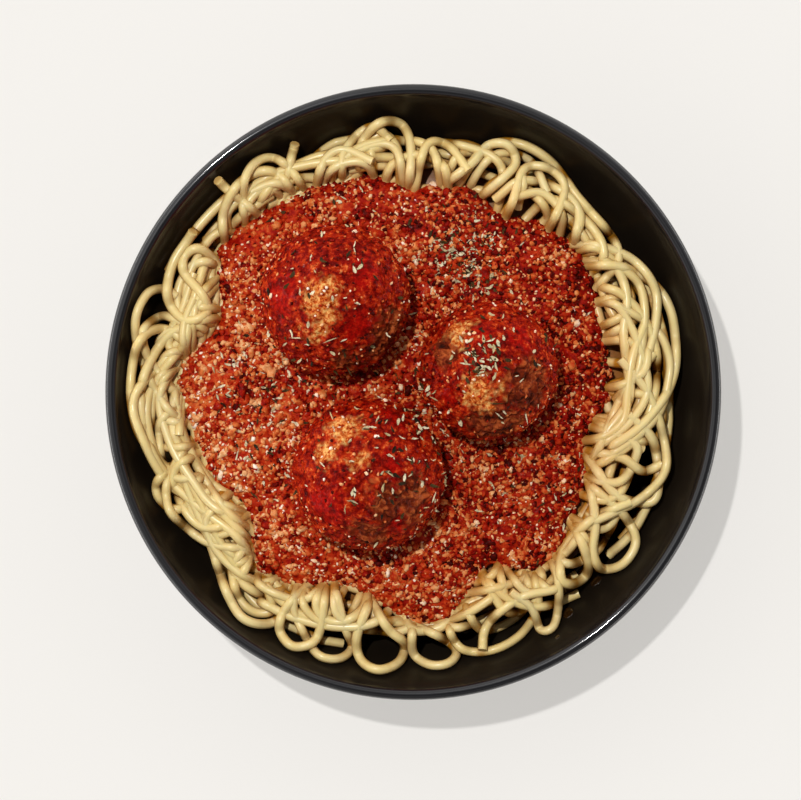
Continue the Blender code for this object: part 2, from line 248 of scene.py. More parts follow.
def mesh_of(bm, name):
    bmesh.ops.recalc_face_normals(bm, faces=bm.faces)
    mesh = bpy.data.meshes.new(name)
    bm.to_mesh(mesh)
    bm.free()
    return mesh


def set_attribute(mesh, name, values):
    layer = mesh.attributes.new(name, "FLOAT", "POINT")
    layer.data.foreach_set("value", np.asarray(values, dtype=np.float32))


def turned(profile, turns):
    """The solid turned from a profile of (reach, height) points that starts and ends on the axis."""
    bm = bmesh.new()
    verts = [bm.verts.new((reach, 0.0, height)) for reach, height in profile]
    edges = [bm.edges.new(pair) for pair in zip(verts, verts[1:])]
    bmesh.ops.spin(
        bm, geom=verts + edges, cent=(0, 0, 0), axis=(0, 0, 1), angle=math.tau, steps=turns, use_merge=True
    )
    bmesh.ops.remove_doubles(bm, verts=bm.verts, dist=1e-6)
    return bm


print("piece helpers ready")

# %% [markdown]
# The bowl is stoneware with a satin black glaze. It is made the way a potter makes it: one profile, turned
# round the axis. The solid has 48 flat sides. This one has enough to look round, and a soft rolled lip.
# %% Turn the bowl
BOWL_TURNS = 192
WALL_START, WALL_END = 0.060, 0.0925
FOOT_POINTS = (
    (0.0, FOOT_RECESS), (FOOT_INNER - 0.003, FOOT_RECESS), (FOOT_INNER - 0.0008, 0.0006),
    (FOOT_INNER + 0.0003, 0.0), (FOOT_OUTER - 0.0008, 0.0), (FOOT_OUTER, 0.0008), (FOOT_OUTER, 0.0024),
)


def wall_rise(reach):
    """How steeply the inner surface climbs at a distance from the axis."""
    return float(inside_height(reach + GAP) - inside_height(reach - GAP)) / (2 * GAP)


def wall_back(reach):
    """The point of the outer wall straight behind a point of the inner wall."""
    rise = wall_rise(reach)
    slope = math.hypot(1.0, rise)
    return reach + WALL * rise / slope, float(inside_height(reach)) - WALL / slope


profile = [*FOOT_POINTS, *(wall_back(reach) for reach in np.linspace(WALL_START, WALL_END, 14))]
roll = LIP_WIDTH / 2
for turn in range(-20, 181, 20):
    across, up = polar(turn, roll)
    profile.append((BOWL_RADIUS - roll + across, BOWL_HEIGHT - roll + up))
inner_reaches = np.linspace(BOWL_RADIUS - LIP_WIDTH - 0.001, FLOOR_RADIUS, 30)
profile += [(reach, float(inside_height(reach))) for reach in inner_reaches]
profile.append((0.0, FLOOR_TOP))
bowl_mesh = mesh_of(turned(profile, BOWL_TURNS), "bowl_glazed")

# %% [markdown]
# The glaze is a very dark brown that breaks to a bluish grey on the lip, where it runs thin and shines.
# The wall has the same heights inside and outside, so the ramps read the distance from the axis instead, as
# a share of the bowl's radius.
# %% Glaze the bowl
LIP_STARTS, LIP_ENDS = 0.955, 0.968
glaze, tree, shader, place = start_material("black_glaze_look", 0.40, 0.20, coat_roughness=0.06)
share = add_math(tree, "MULTIPLY", axis_distance(tree, place), 1.0 / BOWL_RADIUS)
dark, brown, grey = srgb(16, 11, 6), srgb(28, 22, 15), srgb(20, 19, 23)
by_reach = add_ramp(tree, share, (0.0, dark), (LIP_STARTS, brown), (LIP_ENDS, grey), (1.0, grey))
mottle = add_ramp(tree, add_noise(tree, place, 0.018), (0.3, srgb(205, 200, 195)), (0.7, WHITE))
coat = add_ramp(tree, share, (LIP_STARTS, srgb(70, 70, 70)), (0.97, WHITE))
fill(shader, {"Base Color": add_mix(tree, 1.0, by_reach, mottle, "MULTIPLY"), "Coat Weight": coat})
add_relief(tree, shader, place, (0.0008, 2.0, 0.000012))
add_piece("bowl_glazed", bowl_mesh, glaze, "bowl")

# %% [markdown]
# The nest has too many noodles to model to its middle. Its inside is one core, coloured dark brown as
# painted shade for the gaps between noodles, and only noodles near the surface are laid. The core is a
# disc of rings that follows the bowl below and the nest's rule above.
# %% Make the core of the nest
def ringed_body(reach_of, shares_below, shares_above, bottom, top, turns):
    """A closed body: a turned disc whose points are moved out to the outline and up to their heights."""
    profile = [(share, -1.0) for share in shares_below] + [(share, 1.0) for share in shares_above]
    bm = turned([(0.0, -1.0), *profile, (0.0, 1.0)], turns)
    for vert in bm.verts:
        share = math.hypot(vert.co.x, vert.co.y)
        bearing = math.degrees(math.atan2(vert.co.y, vert.co.x))
        x, y = polar(bearing, share * reach_of(bearing))
        side = bottom if vert.co.z < 0 else top
        vert.co = (x, y, side(x, y, share))
    return bm


def above_bowl(x, y, share):
    reach = math.hypot(x, y)
    return float(inside_height(reach)) + 2.5 * GAP


CORE_SINK = 0.0006  # below the nest's rule, for the noodles that are laid
CORE_HIDE = 0.0014  # further down, for the core itself
CORE_RADIUS = 0.0770
core = ringed_body(
    lambda bearing: CORE_RADIUS,
    np.linspace(0.1, 0.99, 16),
    np.linspace(0.98, 0.05, 24),
    above_bowl,
    lambda x, y, share: float(nest_height(x, y)) - CORE_SINK - CORE_HIDE,
    96,
)
core_mesh = mesh_of(core, "nest_core")

# %% [markdown]
# Cooked spaghetti is pale yellow and a little see-through. Light that enters it comes out next to where
# it went in, which is what subsurface scattering does. The flanks of a noodle and those that lie deep
# are painted a deeper yellow-brown as painted shade, and the shape stores how much. Near the sauce, red
# oil has soaked in: a stain that fades outwards, broken up by noise so that it has no clear edge.
# %% Finish of the spaghetti
STAIN_FADES = (0.066, 0.076)


def pasta_material(name, pale, deep, amber_shade, stain_share):
    material, tree, shader, place = start_material(name, 0.36, 0.30, 0.16, 0.16)
    fill(shader, {"Subsurface Weight": 0.15, "Subsurface Radius": (1.0, 0.62, 0.22), "Subsurface Scale": 0.0012})
    tone = add_mix(tree, add_noise(tree, place, 0.011, 2.0), deep, pale)
    tone = add_mix(tree, read_attribute(tree, "tone"), tone, add_mix(tree, 0.5, tone, deep))
    # Painted shade: the flanks of the tubes and the noodles that lie deep turn a deeper yellow-brown
    tone = add_mix(tree, read_attribute(tree, "side"), tone, amber_shade)
    near = tree.nodes.new("ShaderNodeMapRange")
    fill(near, {"Value": axis_distance(tree, place), "From Min": STAIN_FADES[0], "From Max": STAIN_FADES[1]})
    fill(near, {"To Min": stain_share, "To Max": 0.0})
    stain = add_math(tree, "MULTIPLY", near.outputs[0], add_noise(tree, place, 0.007))
    fill(shader, {"Base Color": add_mix(tree, stain, tone, srgb(216, 132, 44))})
    add_relief(tree, shader, place, (0.0016, 2.0, 0.00005))
    return material


noodle_look = pasta_material("cooked_pasta_look", srgb(240, 224, 170), srgb(230, 202, 128), srgb(164, 108, 20), 0.5)
# The core's colours are painted shade, the dark of the gaps between noodles
core_shade_look = pasta_material("nest_core_shade_look", srgb(112, 72, 24), srgb(74, 42, 12), srgb(60, 34, 10), 0.6)
for attribute in ("tone", "side"):
    set_attribute(core_mesh, attribute, np.zeros(len(core_mesh.vertices)))
add_piece("nest_core", core_mesh, core_shade_look, "spaghetti")

# %% [markdown]
# The sauce lies on the noodles, so they have to know where it is before they are laid. Its outline wanders
# in lobes and bays, each given as a bearing and a distance, with smooth steps between them and a small
# ragged noise on top. Near that line the noodles are kept low, so that they dive under the sauce.
# %% Outline of the sauce
SAUCE_LOBES = (
    (0, 0.064), (20, 0.065), (36, 0.071), (50, 0.070), (65, 0.065), (75, 0.069), (90, 0.067),
    (103, 0.073), (125, 0.077), (141, 0.079), (160, 0.068), (175, 0.077), (195, 0.0735),
    (215, 0.067), (230, 0.077), (252, 0.067), (275, 0.0765), (294, 0.062), (306, 0.0715),
    (330, 0.064), (345, 0.058),
)
RAGGED, RAGGED_SIZE = 0.0014, 0.004


def sauce_reach(bearing):
    bearings = [b for b, _ in SAUCE_LOBES] + [SAUCE_LOBES[0][0] + 360]
    reaches = [r for _, r in SAUCE_LOBES] + [SAUCE_LOBES[0][1]]
    bearing %= 360
    k = max(i for i, b in enumerate(bearings) if b <= bearing)
    share = (bearing - bearings[k]) / (bearings[k + 1] - bearings[k])
    smooth = reaches[k] + (reaches[k + 1] - reaches[k]) * (1 - math.cos(math.pi * share)) / 2
    x, y = polar(bearing, smooth)
    return smooth + RAGGED * noise.noise(Vector((x, y, 0)) / RAGGED_SIZE)


outline = np.array([polar(bearing, sauce_reach(bearing)) for bearing in np.arange(0, 360, 1.5)])


def outside_sauce(route):
    """How far each point of a route lies outside the sauce, or 0 where the sauce covers it."""
    away = np.linalg.norm(route[:, None, :] - outline[None, :, :], axis=2).min(axis=1)
    reaches = [sauce_reach(math.degrees(math.atan2(y, x))) for x, y in route]
    return np.where(np.hypot(*route.T) > reaches, away, 0.0)


print("outline of the sauce has", len(outline), "points")

# %% [markdown]
# Noodles fall on top of each other. To lay them like that, a height map of half a millimetre a cell
# holds what is already there, and a noodle rests on what is under its width. It may rise only so far: each
# noodle dives under the sauce at its own depth and climbs outwards at its own slope. Then it is made stiff
# by smoothing that only lifts, and pressed into the map itself, so that the next one climbs over it.
# %% Height map and laying rule
NOODLE = 0.0016
CELL = 0.0005
HALF = 196
PRESS = 0.93  # share of a noodle's thickness left where two cross
STACK = 0.0095  # the most that noodles pile up over the core
CLIMB = (1.6, 3.4)
DIVE = (-0.0012, 0.0006)
steps = np.arange(-HALF, HALF + 1) * CELL
grid_x, grid_y = np.meshgrid(steps, steps, indexing="ij")
grid_reach = np.hypot(grid_x, grid_y)
ground = np.maximum(
    inside_height(grid_reach) + GAP, np.where(grid_reach < CORE_RADIUS, nest_height(grid_x, grid_y) - CORE_SINK, 0)
)
span = int(NOODLE / CELL) + 1
near_x, near_y = np.meshgrid(np.arange(-span, span + 1), np.arange(-span, span + 1), indexing="ij")
inside = np.hypot(near_x, near_y) * CELL < NOODLE
near_x, near_y = near_x[inside], near_y[inside]
noodle_rise = np.sqrt(NOODLE**2 - (near_x**2 + near_y**2) * CELL**2)


def cell_of(places, margin):
    """The row and column of the height map under each place, kept inside the map."""
    return np.clip(np.rint(places[:, :2] / CELL).astype(int) + HALF, margin, 2 * HALF - margin).T


def smoothed(height):
    return 0.25 * height[:-2] + 0.5 * height[1:-1] + 0.25 * height[2:]


def lay(route, stiff=7):
    """Heights along a route, and the pressing of the noodle into the height map."""
    row, column = cell_of(route, span)
    cells = (row[:, None] + near_x[None, :], column[:, None] + near_y[None, :])
    need = (ground[cells] + PRESS * noodle_rise[None, :]).max(axis=1)
    bare = np.maximum(nest_height(*route.T), inside_height(np.hypot(*route.T)) + NOODLE)
    limit = bare - rng.uniform(*DIVE) + np.minimum(STACK, rng.uniform(*CLIMB) * outside_sauce(route))
    need = np.minimum(need, limit)
    height = need.copy()
    for _ in range(stiff):
        height[1:-1] = np.maximum(need[1:-1], smoothed(height))
    height = np.minimum(height, limit)
    for _ in range(2):
        height[1:-1] = smoothed(height)
    np.maximum.at(ground, cells, height[:, None] + noodle_rise[None, :])
    return np.column_stack([route, height])


print("height map", ground.shape, "cells")

# %% [markdown]
# Most noodles come out from under the sauce, turn over near the rim and go back. Each row below is one
# noodle that shows on top: by turns a bearing round the bowl in degrees and a distance from its axis in
# millimetres. A spline runs smoothly through these points, so a loop needs only a few.
# %% Noodles listed one by one
SHOWN_NOODLES = (
    (-16, 66, -9, 74, -3, 80, 2, 84, 8, 86.5, 17, 88, 24, 86, 31, 79, 36, 70),
    (-24, 62, -12, 73, -5, 80, 2, 83, 8, 84, 15, 81, 24, 71),
    (-22, 64, -14, 72, -8, 76, 2, 79, 10, 80, 18, 78.5, 26, 74, 32, 66),
    (28, 60, 24.5, 70, 20, 73, 10, 75, 0, 76, -9, 70, -17, 62),
    (-12, 64, -2, 70, 8, 70, 16, 71, 24, 76, 32, 77, 38, 70),
    (1, 58, 2, 68, 5, 73, 12, 76, 20, 80, 27, 81, 35, 75),
    (-2, 66, 4, 72, 9, 77, 16, 82, 23, 85.5, 30, 84, 36, 79, 42, 72, 48, 62),
    (43, 72, 48, 80, 55, 81, 63, 77, 67, 68),
    (45, 66, 50, 75, 57, 77, 63, 71),
    (56, 78, 63, 84.5, 69, 83.5, 73, 77, 76, 62),
    (39.5, 82.2, 50, 83, 58, 87, 65, 88.2, 71, 86, 75, 79, 80, 62),
    (49, 61, 51.5, 76, 54, 83.5, 59, 85, 63.5, 81, 62.5, 70, 62, 61),
    (74, 62, 67, 76, 66, 82, 69, 86, 73, 84, 75.5, 77, 80, 70),
    (76, 74, 82, 81, 87, 80, 90, 64),
    (100, 76, 106, 82, 111, 80.5, 117, 72),
    (94, 63, 93.5, 77, 96, 84, 99.5, 82, 101, 66),
    (95, 82, 98.5, 87.3, 103, 85, 107, 79, 110, 66),
    (92, 61, 90.5, 78, 92, 86.5, 95.5, 88.6, 99.5, 86, 103, 79, 105, 64),
    (115.5, 89.5, 118, 85, 122, 77, 124, 68),
    (132.7, 93.5, 132.5, 89, 131, 76),
    (124, 70, 124.5, 80, 128, 82.5, 133, 80, 139, 70),
    (121, 69, 121.5, 82, 125, 87.5, 131, 88, 138, 83.5, 146, 72),
    (117.5, 67, 119, 83, 121.5, 89.5, 126, 90, 131, 84.5, 140, 70),
    (158, 83, 157.5, 88, 160, 92.3, 166, 93, 174, 88.5, 184, 80, 191, 70),
    (144, 88.5, 152, 88.6, 159, 85.5, 162.5, 78, 159.5, 72, 155.5, 75, 152.5, 84, 149, 86.5, 146, 83, 148, 72),
    (165, 68, 168, 78, 175, 82, 183, 81, 192, 77, 200, 68),
    (150, 74, 155.5, 71, 160.5, 69.5, 163.5, 76, 163, 85, 167, 89.8, 172, 87.5, 178, 80, 188, 70),
    (178, 68, 171, 73, 166.5, 79, 166, 85, 168.5, 89.5, 173, 91.5, 181, 91.8, 189, 90, 197, 84, 206, 74),
    (172, 77, 181, 82.5, 191, 81, 201, 77.5, 211, 74, 221, 64),
    (158, 66, 163, 76, 169, 83.5, 179, 88.3, 190, 88, 200, 84, 210, 78, 219, 74, 225, 76, 227, 82),
    (174, 72, 184, 77, 195, 75, 206, 71, 214, 64),
    (197, 82, 199.5, 88.5, 203, 89.5, 206.5, 85.5, 206, 74),
    (192, 74, 197, 81, 201, 86, 206, 88, 212, 85.5, 218, 81, 227, 70),
    (222, 80, 229, 87.5, 234, 88.5, 237, 84.5, 233, 79, 226, 74),
    (208, 70, 211, 79, 219, 83.5, 227, 89, 233, 92, 238, 89, 240, 82, 238, 70),
    (234, 84.5, 242, 83, 251, 80.5, 259, 77, 264, 71, 267, 62),
    (246, 64, 245, 74, 248, 78.8, 253, 78, 257, 72, 257, 64),
    (238, 68, 240.5, 79, 245, 85.5, 250, 90.8, 254.5, 90, 256.5, 85.5, 254, 80, 249, 70),
    (242, 70, 239.5, 81, 240.5, 88.5, 244.5, 91.5, 248, 88, 248.5, 82, 246, 70),
    (258, 70, 257, 82, 259, 89, 263, 91, 267, 88, 268, 82, 264, 77.5, 259, 70),
    (272, 66, 270, 76, 270, 85, 273.5, 89, 277.5, 89, 279.5, 85.5, 276, 80, 269, 75, 262, 68),
    (300, 60, 293, 65, 286, 66, 281, 70, 278.7, 78, 281, 85.5, 287, 88, 294, 86.5, 300, 81, 304, 70),
    (285, 87, 287, 80.5, 292, 76.5, 299, 75.5, 306, 79, 312, 80),
    (290, 58, 292.5, 69, 297, 77.5, 303, 82.7, 309.5, 85.2),
    (296, 72, 298.7, 80, 298.2, 87.8, 300.8, 89, 304, 84.5, 308, 76, 310, 66),
    (340, 60, 333.5, 72, 333.5, 80, 336, 86, 342, 84, 349, 79, 354, 70),
    (322, 62, 318, 74, 314.5, 81.5, 310.5, 81.8, 308.3, 78, 311.5, 72.5, 318, 70, 326, 72, 333, 79),
    (332, 66, 329.5, 80, 326, 87.5, 320.5, 88.3, 316.8, 84, 318.5, 78, 324, 73, 331, 66, 339, 58),
    (341, 58, 342.5, 71, 341, 79, 344, 84.5),
    (342, 52, 346, 62, 352, 68.5, 360, 69.5, 369, 72, 376, 78),
    (330, 58, 339, 62, 347, 63.5, 355, 66, 363, 71, 369, 79),
    (352, 56, 350, 62, 347, 69, 346, 77),
    (313, 60, 321, 69, 329, 76, 336, 82.5, 343, 85.8, 351, 82, 360, 76, 369, 68),
    (171, 80, 181, 90.5, 190, 89, 201, 84.7, 209, 75.7, 215.5, 72, 224, 66),
    (168, 76, 179.5, 85.5, 189, 87, 198, 84, 206.6, 75.5, 215, 68),
    (170, 70, 177.3, 81.5, 188.7, 81.3, 201.7, 77, 213.5, 73, 221.3, 72.2, 225, 76, 223.7, 82),
    (168, 68, 177, 77.5, 190.5, 76, 203.7, 73.4, 216.3, 70.7, 226, 66),
)
ROUTE_STEP = 0.0009


def spline_route(row):
    """Points on a smooth curve through places given as a bearing and a distance in millimetres by turns."""
    knots = np.array([polar(bearing, reach / 1000) for bearing, reach in zip(row[::2], row[1::2])])
    knots = np.vstack([2 * knots[0] - knots[1], knots, 2 * knots[-1] - knots[-2]])
    points = []
    for before, start, end, after in zip(knots, knots[1:], knots[2:], knots[3:]):
        for t in np.arange(0, 1, 0.08):
            square, cube = t * t, t * t * t
            points.append(
                0.5 * (2 * start + (end - before) * t + (2 * before - 5 * start + 4 * end - after) * square
                       + (3 * start - before - 3 * end + after) * cube)
            )
    return np.array([*points, knots[-2]])


def even_route(route, waver=0.0, level=0.0):
    """The route with its points evenly spaced, and with a slow waver across it."""
    along = np.concatenate([[0], np.cumsum(np.linalg.norm(np.diff(route, axis=0), axis=1))])
    places = np.linspace(0, along[-1], max(6, round(along[-1] / ROUTE_STEP) + 1))
    route = np.column_stack([np.interp(places, along, route[:, k]) for k in range(2)])
    if waver:
        shift = [noise.noise_vector(Vector((x * 60, y * 60, level)))[:2] for x, y in route]
        route = route + waver * np.array(shift)
    return route


print(len(SHOWN_NOODLES), "noodles are placed by hand")

# %% [markdown]
# Below them lies a bed of noodles that shows only through the gaps, so a rule is enough for it: runners wind
# round the bowl with a slow sway, more of them on the left, and random bends lie over them. They keep back
# from the nest's edge, where the black bowl shows between the loops. At the left and the front the nest
# reaches further out, and so does the bed.
# %% Lay the whole nest
RUNNERS, LEFT_RUNNERS, RANDOM_BENDS = 80, 44, 46
RUNNER_SWEEP, RUNNER_REACH, RUNNER_DRIFT, RUNNER_SWAY = (28, 70), (60, 84), (-8, 8), 2.2
BEND_WIDTH, BEND_CROWN, BEND_FALL, LEFT_CROWN = (5, 16), (74, 82), (12, 22), 5
BED_EDGE, BED_EDGE_LEFT = 0.0835, 0.0060
laid_under, laid_over = [], []
for count in range(RUNNERS):
    begin = rng.uniform(90, 230) if count < LEFT_RUNNERS else rng.uniform(0, 360)
    sweep, reach, drift = rng.uniform(*RUNNER_SWEEP), rng.uniform(*RUNNER_REACH), rng.uniform(*RUNNER_DRIFT)
    row = []
    for t in np.linspace(0, 1, 7):
        row += [begin + sweep * t, reach + drift * t + RUNNER_SWAY * math.sin(6 * t + count)]
    route = even_route(spline_route(row), 0.0012, count)
    far = np.hypot(*route.T)
    leftward = np.clip(np.maximum(-route[:, 0], -0.5 * route[:, 1]) / far, 0.0, 1.0)
    route = route * np.minimum(1.0, (BED_EDGE + BED_EDGE_LEFT * leftward) / far)[:, None]
    laid_under.append(lay(route))
for count in range(RANDOM_BENDS):
    bearing = 360 * (count + rng.uniform(-0.4, 0.4)) / RANDOM_BENDS
    crown = rng.uniform(*BEND_CROWN) + LEFT_CROWN * max(0.0, -math.cos(math.radians(bearing)))
    left, right = rng.uniform(*BEND_WIDTH, 2)
    start, end = crown - rng.uniform(*BEND_FALL, 2)
    row = (bearing - left, start, bearing - 0.7 * left, crown - 3, bearing, crown,
           bearing + 0.7 * right, crown - 3, bearing + right, end)
    laid_under.append(lay(even_route(spline_route(row), 0.0010, count)))
for row in SHOWN_NOODLES:
    laid_over.append(lay(even_route(spline_route(row))))
total = sum(len(points) for points in laid_under + laid_over) * ROUTE_STEP
print(len(laid_under) + len(laid_over), "noodles,", round(total, 1), "m in all")

# %% [markdown]
# A noodle is a tube along its route. A curve with a round bevel makes it, and its ends are flat because
# spaghetti is cut. All noodles of a layer share one curve, which is then turned into a mesh, so that each
# noodle can carry its own tone, and each point how far down the tube's side and in the heap it lies,
# which the finish turns into painted shade.
# %% Make the noodles
NOODLE_SIDES = 8
NOODLE_WIDTHS = (0.93, 1.06)
# How strongly the flanks and the deep noodles take the painted shade, and how deep is fully shaded
FLANK_SHADE, BURIED_SHADE, BURIED_DEPTH = 0.70, 0.80, 0.004


def noodle_mesh(name, paths):
    curve = bpy.data.curves.new(name, "CURVE")
    curve.dimensions = "3D"
    curve.bevel_depth = NOODLE
    curve.bevel_resolution = (NOODLE_SIDES - 4) // 2
    curve.use_fill_caps = True
    for points in paths:
        spline = curve.splines.new("POLY")
        spline.points.add(len(points) - 1)
        spline.points.foreach_set("co", np.column_stack([points, np.ones(len(points))]).ravel())
        spline.points.foreach_set("radius", np.full(len(points), rng.uniform(*NOODLE_WIDTHS)))
    tube = bpy.data.objects.new(name, curve)
    mesh = bpy.data.meshes.new_from_object(tube)
    bpy.data.objects.remove(tube)
    # The mesh has the rings of the cut ends first, last noodle first, and then all the rings in order
    ends = [point for points in reversed(paths) for point in (points[-1], points[0])]
    centres = np.repeat(np.vstack([ends, *paths]), NOODLE_SIDES, axis=0)
    shades = rng.uniform(0, 1, len(paths))
    rings = np.concatenate([np.repeat(shades[::-1], 2), np.repeat(shades, [len(points) for points in paths])])
    row, column = cell_of(centres, 0)
    # Painted shade: how deep a noodle lies under the heap and how low a point sits on its tube
    buried = np.clip((ground[row, column] - centres[:, 2] - NOODLE) / BURIED_DEPTH, 0.0, 1.0)
    corners = np.empty(len(mesh.vertices) * 3)
    mesh.vertices.foreach_get("co", corners)
    flank = 1.0 - np.clip((corners[2::3] - centres[:, 2]) / NOODLE, 0.0, 1.0)
    set_attribute(mesh, "tone", np.repeat(rings, NOODLE_SIDES))
    set_attribute(mesh, "side", np.clip(FLANK_SHADE * flank + BURIED_SHADE * buried, 0.0, 1.0))
    return mesh


for name, paths in (("noodles_under", laid_under), ("noodles_over", laid_over)):
    add_piece(name, noodle_mesh(name, paths), noodle_look, "spaghetti")

# %% [markdown]
# The body of the sauce is one closed skin with lumps of three sizes: swells of nearly a centimetre, crumbs
# of a few millimetres, and grains. Crumbs come from how much nearer the nearest of many random points is
# than the next, which is little in the creases and much on the crumbs.
# %% Height of the sauce
SAUCE_LUMP, SAUCE_LUMP_SIZE = 0.0011, 0.009
SAUCE_CRUMB, SAUCE_CRUMB_SIZE = 0.0011, 0.0032
SAUCE_GRAIN, SAUCE_GRAIN_SIZE = 0.0009, 0.0015
SAUCE_VAULT = 0.0010
LEFT_FRONT_SLOPE = (-0.9, -0.3)


def lump(x, y, z, size):
    place = Vector((x, y, z)) / size
    return noise.noise(place) + 0.5 * noise.noise(place * 2.1)


def crumbly(place, size):
    """Rounded crumbs side by side, from 0 in the creases to about 1 on the crumbs."""
    nearest, _ = noise.voronoi(place / size, distance_metric="DISTANCE", exponent=2.5)
    return min(1.0, 1.6 * (nearest[1] - nearest[0]))


def thickness_of_mince(x, y):
    """How thickly the mince lies: low on smooth tomato, 1 where it is all crumbs."""
    place = Vector((x, y, 0.02))
    return min(1.0, max(0.30, 0.72 + 1.4 * noise.noise(place / 0.012) + 0.9 * noise.noise(place / 0.0045)))


def left_front_tone(x, y):
    """The mince is paler towards the left and the front."""
    return LEFT_FRONT_SLOPE[0] * x + LEFT_FRONT_SLOPE[1] * y


def sauce_height(x, y, share):
    body = SAUCE_EDGE + SAUCE_CROWN * (1 - share**2)
    rounding = math.sqrt(max(0.0, 1 - share**12))
    place = Vector((x, y, 0.0))
    relief = SAUCE_LUMP * lump(x, y, 0, SAUCE_LUMP_SIZE)
    fine = SAUCE_CRUMB * (crumbly(place, SAUCE_CRUMB_SIZE) - 0.5)
    fine += SAUCE_GRAIN * noise.noise(place / SAUCE_GRAIN_SIZE)
    fine *= 0.40 + 0.60 * thickness_of_mince(x, y)
    return float(nest_height(x, y)) + GAP + (body + relief + fine) * rounding


def sauce_underside(x, y, share):
    return float(nest_height(x, y)) + GAP + SAUCE_VAULT * min(1.0, 8 * (1 - share))


below = np.linspace(0.2, 0.995, 8)
above = np.concatenate([[0.999, 0.995, 0.985, 0.97], np.linspace(0.955, 0.02, 120)])
sauce_mesh = mesh_of(ringed_body(sauce_reach, below, above, sauce_underside, sauce_height, 420), "sauce_body")
print("sauce body", len(sauce_mesh.vertices), "points")

# %% [markdown]
# The sauce is glossy and deep red, with orange where fat has gathered and tan where meat shows. Two noises
# of different size steer a ramp through these colours, and a tone that the shape stores shifts it. The
# ramp's near-white end colours the palest specks of mince, which are painted glints as well as fat. A thin
# clear coat gives the wet shine.
# %% Finish of the sauce
BODY_TONE = -0.02
RELIEF = (0.0012, 3.0, 0.00035)
sauce_look, tree, shader, place = start_material("meat_sauce_look", 0.45, 0.04, 0.09, 0.05)
wide = add_math(tree, "MULTIPLY", add_noise(tree, place, 0.010), 0.45)
fine = add_math(tree, "MULTIPLY", add_noise(tree, place, 0.0022, 3.0, 0.6), 0.55)
tone = add_math(tree, "ADD", add_math(tree, "ADD", wide, fine), read_attribute(tree, "tone"))
# The near-white end of the ramp is for the palest specks: painted highlights as well as fat
colour = add_ramp(
    tree, tone, (0.30, srgb(62, 4, 1)), (0.44, srgb(146, 14, 3)), (0.55, srgb(184, 50, 14)),
    (0.67, srgb(214, 118, 58)), (0.82, srgb(240, 184, 128)), (1.0, srgb(255, 240, 220)),
)
fill(shader, {"Base Color": colour})
add_relief(tree, shader, place, RELIEF, (0.0004, 2.0, 0.00010))
set_attribute(sauce_mesh, "tone", [left_front_tone(vert.co.x, vert.co.y) + BODY_TONE for vert in sauce_mesh.vertices])
sauce_piece = add_piece("sauce_body", sauce_mesh, sauce_look, "sauce")

# %% [markdown]
# The meatballs are balls of mince that were rolled by hand, browned and then turned in the sauce. A ball
# made from an icosphere has no poles. Its points are moved out and in by lumps, then by crumbs. Ragged
# patches on it are bare and golden, browned in layers, or smooth under thick tomato. The brown patches on
# each ball's lower right, turned from the light, are painted shade as well as browning.
# %% Shape of the meatballs
BALL_LIFT = 0.0188
BALL_LUMP, BALL_LUMP_SIZE = 0.0011, 0.010
BALL_PLACES = ((-0.0254, 0.0297, 0.0244), (0.0241, 0.0068, 0.0226), (-0.0144, -0.0264, 0.0248))
# The brown marks on each ball's lower right, turned from the light, are painted shade as well as browning
# Marks on each ball by kind: sideways x and y from its middle, seen from above, and radius, all in mm
BALL_MARKS = (
    {
        "gold": ((-4.2, 1.8, 7.2), (-5.5, -10.5, 4.2), (-2.0, -5.0, 3.5)),
        "brown": ((17.0, -12.0, 9.5), (4.0, -21.0, 6.5)),
        "red": ((-18.0, 1.0, 8.0), (9.0, 9.0, 6.5), (7.0, -9.0, 6.0)),
    },
    {
        "gold": ((-9.0, 12.5, 4.5), (-3.0, -6.5, 6.8)),
        "brown": ((-13.8, 8.4, 6.8), (14.0, -5.0, 10.5), (3.0, -17.5, 10.5)),
        "red": ((-1.8, 12.3, 5.0), (11.0, 11.0, 5.0), (-13.0, -9.0, 4.5)),
    },
    {
        "gold": ((-8.6, 14.5, 6.0), (-14.0, 8.0, 4.5), (-4.0, 4.4, 3.4)),
        "brown": ((11.0, -10.0, 12.0), (1.0, -20.0, 7.5)),
        "red": ((8.4, 19.0, 6.0), (8.5, 3.0, 5.5), (-14.5, -10.5, 8.0), (9.5, -17.0, 4.0)),
    },
)
MARK_RIM, MARK_FADE = 0.0010, 0.0040
MARK_RAGGED = ((0.0045, 0.005), (0.0036, 0.0020))
LAYERED = 3.2


def mark_share(out, radius, index, kind):
    """How far a point lies inside the marks of one kind, from 0 to 1, with a ragged edge."""
    (broad, broad_size), (small, small_size) = MARK_RAGGED
    share = 0.0
    ragged = broad * noise.noise(out * radius / broad_size + Vector((index, 0, 0)))
    ragged += small * noise.noise(out * radius / small_size)
    for x, y, size in BALL_MARKS[index][kind]:
        side = Vector((x, y, math.sqrt(max(0.0, (radius * 1000) ** 2 - x**2 - y**2)))) / 1000
        away = (out * radius - side).length + ragged
        share = max(share, min(1.0, max(0.0, (size / 1000 + MARK_RIM - away) / MARK_FADE)))
    return share


def ball_middle(index):
    x, y, _ = BALL_PLACES[index]
    return Vector((x, y, float(nest_height(x, y)) + BALL_LIFT))


def ball_relief(out, radius, index, here):
    """How far a point of the ball is moved out or in, given the shares of the marks there."""
    rough = 0.6 + 0.6 * max(here["gold"], here["brown"]) - 0.45 * here["red"]
    place = out * radius + Vector((0, 0, 0.1 * index))
    relief = BALL_LUMP * lump(*(out * radius), BALL_LUMP_SIZE - index * 0.001)
    relief += rough * 0.0011 * (crumbly(place, 0.0042) - 0.6)
    relief += rough * (0.0006 * (crumbly(place, 0.0019) - 0.5) + 0.0005 * noise.noise(place / 0.0014))
    layered = Vector((place.x, place.y, place.z * LAYERED)) / 0.005
    return relief + here["brown"] * 0.0007 * noise.noise(layered) - 0.0003


